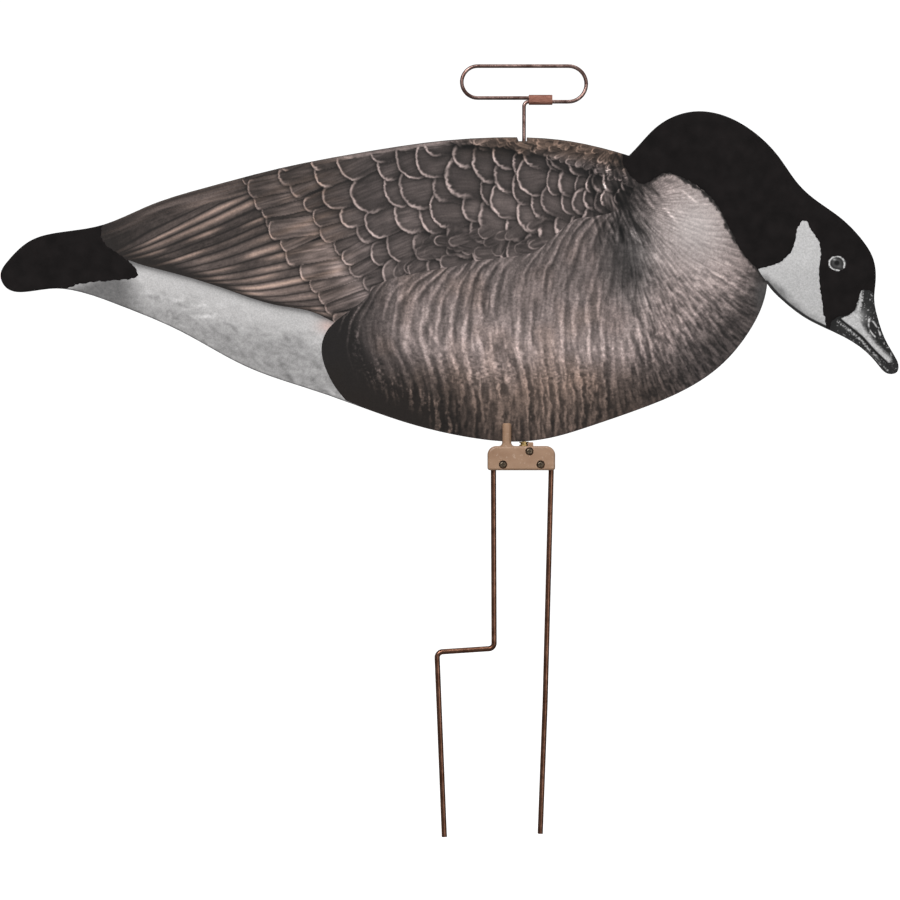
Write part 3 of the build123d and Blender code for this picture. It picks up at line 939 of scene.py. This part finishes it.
def print_finish():
    """Matt ink on plastic, with fine grain and the faintest trace of the flutes."""
    finish = Finish("printed_ink", 0.6, Specular_IOR_Level=0.14)
    attribute = finish.nodes.new("ShaderNodeAttribute")
    attribute.attribute_name = "ink"
    grain = finish.ramp(finish.noise(900, 3.0), [(0.3, (0.85,) * 3), (0.7, (1.15,) * 3)])
    finish.colour(finish.mixed(1.0, attribute.outputs["Color"], grain, "MULTIPLY"))
    finish.rough(finish.noise(260), 0.48, 0.66)
    flutes = finish.nodes.new("ShaderNodeTexWave")
    flutes.inputs["Scale"].default_value = 1 / FLUTE_PITCH / WAVES_PER_UNIT
    finish.links.new(finish.place, flutes.inputs["Vector"])
    finish.bump(flutes.outputs["Fac"], 0.12, 0.0002)
    return finish.bump(finish.noise(1800, 2.0), 0.15, 0.0001).material


def sheet_finish():
    """Dark moulded sheet, seen at its cut edges."""
    finish = Finish("sheet_plastic", 0.5)
    finish.colour(finish.ramp(finish.noise(220), [(0.3, rgb(38, 34, 31)), (0.75, rgb(66, 59, 54))]))
    return finish.rough(finish.noise(500), 0.42, 0.62).bump(finish.noise(900), 0.2, 0.0002).material


def flock_finish():
    """Short black fibres: no gloss, a little dust and nap."""
    gloss = {"Specular_IOR_Level": 0.02, "Sheen_Weight": 0.02, "Sheen_Roughness": 0.6}
    finish = Finish("black_flocking", 1.0, **gloss)
    nap = finish.noise(90, 4.0)
    finish.colour(finish.ramp(nap, [(0.3, rgb(25, 23, 23)), (0.72, rgb(33, 30, 30))]))
    return finish.bump(finish.noise(2600, 3.0), 0.5, 0.0003).material


def wire_finish(name, dark, light):
    """Brown paint on wire, a little mottled, with dull streaks along it."""
    gloss = {"Specular_IOR_Level": 0.3, "Specular_Tint": (0.3, 0.24, 0.2, 1)}
    finish = Finish(name, 0.42, metallic=0.85, **gloss)
    mottle = finish.ramp(finish.noise(160, 5.0), [(0.35, dark), (0.68, light)])
    streaks = finish.noise(60, 3.0, finish.stretched((14, 14, 1)))
    finish.colour(finish.mixed(streaks, mottle, dark))
    return finish.rough(finish.noise(700), 0.18, 0.32).bump(finish.noise(1400), 0.08, 0.0002).material


def ferrule_finish():
    """Dull copper, drawn along the loop."""
    finish = Finish("copper_ferrule", 0.4, metallic=0.6, Specular_Tint=(0.4, 0.3, 0.26, 1))
    drawn = finish.noise(120, 4.0, finish.stretched((1, 9, 9)))
    finish.colour(finish.ramp(drawn, [(0.3, rgb(104, 66, 56)), (0.7, rgb(158, 112, 98))]))
    return finish.rough(drawn, 0.32, 0.55).bump(drawn, 0.25, 0.0002).material


def housing_finish():
    """Tan moulded plastic with flow marks and handling scuffs."""
    finish = Finish("tan_plastic", 0.4, Specular_IOR_Level=0.5)
    flow = finish.noise(55, 4.0, finish.stretched((1, 1, 2.4)))
    tan = finish.ramp(flow, [(0.25, rgb(146, 113, 88)), (0.75, rgb(168, 136, 111))])
    scuffs = finish.ramp(finish.noise(420, 6.0), [(0.6, (0, 0, 0)), (0.75, (1, 1, 1))])
    finish.colour(finish.mixed(scuffs, tan, rgb(186, 160, 140)))
    return finish.rough(finish.noise(180), 0.26, 0.45).bump(finish.noise(900, 4.0), 0.08, 0.0002).material


def brass_finish():
    """Turned brass, with fine rings round the shaft."""
    finish = Finish("brass_bush", 0.35, metallic=0.85)
    turned = finish.noise(300, 3.0, finish.stretched((1, 1, 12)))
    finish.colour(finish.ramp(turned, [(0.3, rgb(120, 98, 52)), (0.7, rgb(196, 170, 116))]))
    return finish.rough(turned, 0.25, 0.45).material


def screw_finish():
    """Dark plated steel, a little worn."""
    finish = Finish("black_screw", 0.35, metallic=0.6)
    finish.colour(finish.ramp(finish.noise(900, 4.0), [(0.3, rgb(62, 54, 46)), (0.75, rgb(128, 112, 92))]))
    return finish.rough(finish.noise(1300), 0.2, 0.42).bump(finish.noise(1500), 0.15, 0.0001).material


# --- pieces ---------------------------------------------------------------------------------------


def print_areas():
    """Outline of each printed area, cut from the sheet's outline along the plumage's own edges."""
    neck = smooth_path(NECK_SEAM)[1:-1]
    wing_edge, flank_edge = smooth_path(WING_EDGE), smooth_path(FLANK_EDGE)
    meeting = np.linalg.norm(flank_edge - WING_MEETS_FLANK, axis=1).argmin()
    leaving = np.linalg.norm(neck - FLANK_EDGE[-1], axis=1).argmin()
    back = stretch(OUTLINE, NAPE, TAIL_END)
    return {
        "wing": [back, wing_edge, flank_edge[meeting + 1 :], neck[leaving + 1 :]],
        "rump": [stretch(OUTLINE, TAIL_END, BELLY_START), flank_edge[1 : meeting + 1], wing_edge[-2::-1]],
        "flank": [stretch(OUTLINE, BELLY_START, CHIN), neck[:leaving], flank_edge[:0:-1]],
        "head": [stretch(OUTLINE, CHIN, NAPE), neck[::-1]],
    }


def stretch(loop, start, end):
    """The part of a loop from the point nearest start to the one nearest end."""
    first = np.linalg.norm(loop - start, axis=1).argmin()
    loop = np.roll(loop, -first, axis=0)
    return loop[: np.linalg.norm(loop - end, axis=1).argmin() + 1]


def add_prints():
    """Printed skins on both faces of the sheet. Both sides carry the same picture."""
    material = print_finish()
    sheet_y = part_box("panel")[1][1] / MM
    painters = {"wing": paint_wing, "rump": paint_rump, "flank": paint_flank, "head": paint_head}
    for area, parts in print_areas().items():
        loop, picture = np.vstack(parts), None
        for word, side in SIDES.items():
            base_y, outer_y = side * sheet_y, side * (sheet_y + INK)
            piece, fine = slab(f"{area}_print_{word}", [loop], SPACING[area], base_y, outer_y)
            if picture is None:
                canvas = painters[area](fine)
                darken_cut_edge(canvas, parts[0])
                picture = ink(canvas)
            put_ink(piece, picture)
            piece.data.materials.append(material)
            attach(piece, "decoy")


def darken_cut_edge(canvas, cut_edge):
    """A thin broken dark line where the print ends at the sheet's cut edge."""
    speckle = NOISE(canvas.x / 1.4, canvas.z / 1.4)
    canvas.line(cut_edge, width=1.3, tone=48, strength=0.75 + 0.4 * speckle)


def counter_clockwise(loop):
    ahead = np.roll(loop, -1, axis=0)
    area = (loop[:, 0] * ahead[:, 1] - ahead[:, 0] * loop[:, 1]).sum()
    return loop if area > 0 else loop[::-1]


def add_flocking():
    """Flocked layers with a soft rounded rim and a slightly ragged edge towards the print."""
    material = flock_finish()
    closed = np.vstack([OUTLINE, OUTLINE[:1]])
    for area in ("head", "tail"):
        for word, side in SIDES.items():
            node = f"flock_{area}_{word}"
            loops = [ragged(loop, closed) for loop in face_loops(node, side)]
            low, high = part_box(node)
            sheet_y, outer_y = sorted((low[1] / MM, high[1] / MM), key=abs)
            base_y = sheet_y + side * INK
            piece, _ = slab(f"flocking_{area}_{word}", loops, FLOCK_SPACING, base_y, outer_y, FLOCK_RIM)
            piece.data.materials.append(material)
            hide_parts(node)
            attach(piece, "decoy")


def ragged(loop, sheet_edge):
    """The loop with more points, moved in and out a little wherever it isn't the sheet's own edge."""
    ahead = np.roll(loop, -1, axis=0)
    dense = []
    for a, b in zip(loop, ahead):
        count = max(1, int(np.linalg.norm(b - a) / 0.9))
        dense += [a + (b - a) * i / count for i in range(count)]
    dense = np.array(dense)
    free = ramp(0.2, 3.0, distance_to(dense, sheet_edge))
    tangent = np.roll(dense, -1, axis=0) - np.roll(dense, 1, axis=0)
    normal = np.stack([tangent[:, 1], -tangent[:, 0]], axis=1)
    normal /= np.maximum(np.linalg.norm(normal, axis=1)[:, None], 1e-9)
    shift = RAGGED * NOISE(dense[:, 0] / 1.7, dense[:, 1] / 1.7) * free
    return dense + normal * shift[:, None]


def finish_cad_nodes():
    """Materials of the CAD pieces that stay as they are."""
    finishes = {
        "panel": sheet_finish(),
        "shaft_and_handle": wire_finish("shaft_paint", rgb(96, 72, 66), rgb(196, 166, 158)),
        "ground_stake": wire_finish("stake_paint", rgb(92, 62, 48), rgb(150, 110, 90)),
        "handle_ferrule": ferrule_finish(),
        "pivot_bush": brass_finish(),
    }
    finishes.update(dict.fromkeys(("housing_front", "housing_back"), housing_finish()))
    finishes.update(dict.fromkeys(("screw_upper", "screw_left", "screw_right"), screw_finish()))
    for node, material in finishes.items():
        mesh = NODES[node].data
        mesh.materials.clear()
        mesh.materials.append(material)


# --- floor, light and camera ----------------------------------------------------------------------


# What the lamps point at
LIT_POINT = (0, 0, 0.25)


def add_stage():
    """A pale floor that sweeps up behind the object."""
    floor_z = cad_box[0][2]
    half, back, rise, bend = 6.0, 2.4, 5.0, 1.2
    profile = [(-half, floor_z)]
    for degrees in np.linspace(0, 90, 13):
        turn = math.radians(degrees)
        profile.append((back + bend * math.sin(turn), floor_z + bend * (1 - math.cos(turn))))
    profile.append((back + bend, rise))
    vertices = [(x, y, z) for y, z in profile for x in (-half, half)]
    faces = [(2 * i, 2 * i + 1, 2 * i + 3, 2 * i + 2) for i in range(len(profile) - 1)]
    mesh = bpy.data.meshes.new("floor")
    mesh.from_pydata(vertices, [], faces)
    for polygon in mesh.polygons:
        polygon.use_smooth = True
    finish = Finish("floor_white", 0.9, Specular_IOR_Level=0.1)
    finish.shader.inputs["Base Color"].default_value = (0.4, 0.4, 0.4, 1)
    finish.shader.inputs["Emission Color"].default_value = (1, 1, 1, 1)
    finish.shader.inputs["Emission Strength"].default_value = 0.88
    mesh.materials.append(finish.material)
    floor = add_object("floor", mesh)
    floor.visible_diffuse = floor.visible_glossy = False


def add_light():
    """Three soft lamps in front and one behind, (place, size in metres, watts), in an even pale room."""
    world = bpy.data.worlds.new("soft_room")
    bpy.context.scene.world = world
    world.use_nodes = True
    background = world.node_tree.nodes["Background"]
    background.inputs["Color"].default_value = (1, 1, 1, 1)
    background.inputs["Strength"].default_value = 0.24
    for name, place, size, power in (
        ("key", (-1.0, -2.5, 1.7), 1.3, 68),
        ("fill", (1.5, -2.6, 0.3), 1.8, 23),
        ("top", (0.2, -0.6, 2.6), 1.4, 15),
        ("behind", (0.8, 2.2, 1.6), 1.6, 24),
    ):
        lamp = bpy.data.lights.new(name, "AREA")
        lamp.size, lamp.energy = size, power
        holder = add_object(name, lamp)
        holder.location = place
        aim = Vector(LIT_POINT) - Vector(place)
        holder.rotation_euler = aim.to_track_quat("-Z", "Y").to_euler()


def add_camera():
    """Level view along +Y, from far enough back that the flat bird shows almost no perspective."""
    distance, width = 2.6, 0.765
    camera = bpy.data.cameras.new("camera")
    camera.sensor_width = 36
    camera.lens = camera.sensor_width * distance / width
    camera.clip_start, camera.clip_end = 0.05, 40
    holder = add_object("camera", camera)
    holder.location = (-0.0629, -distance, 0.1726)
    holder.rotation_euler = (math.radians(90), 0, 0)
    bpy.context.scene.camera = holder


# The sheet's outline, and its stretch along the back for the feathers that follow it
OUTLINE = counter_clockwise(face_loops("panel", -1)[0])
BACK_EDGE = stretch(OUTLINE, NAPE, TAIL_END)
BACK_EDGE = BACK_EDGE[BACK_EDGE[:, 1] > 340][::-1].T

finish_cad_nodes()
add_prints()
add_flocking()
add_stage()
add_light()
add_camera()
bpy.context.scene.view_settings.view_transform = "Standard"
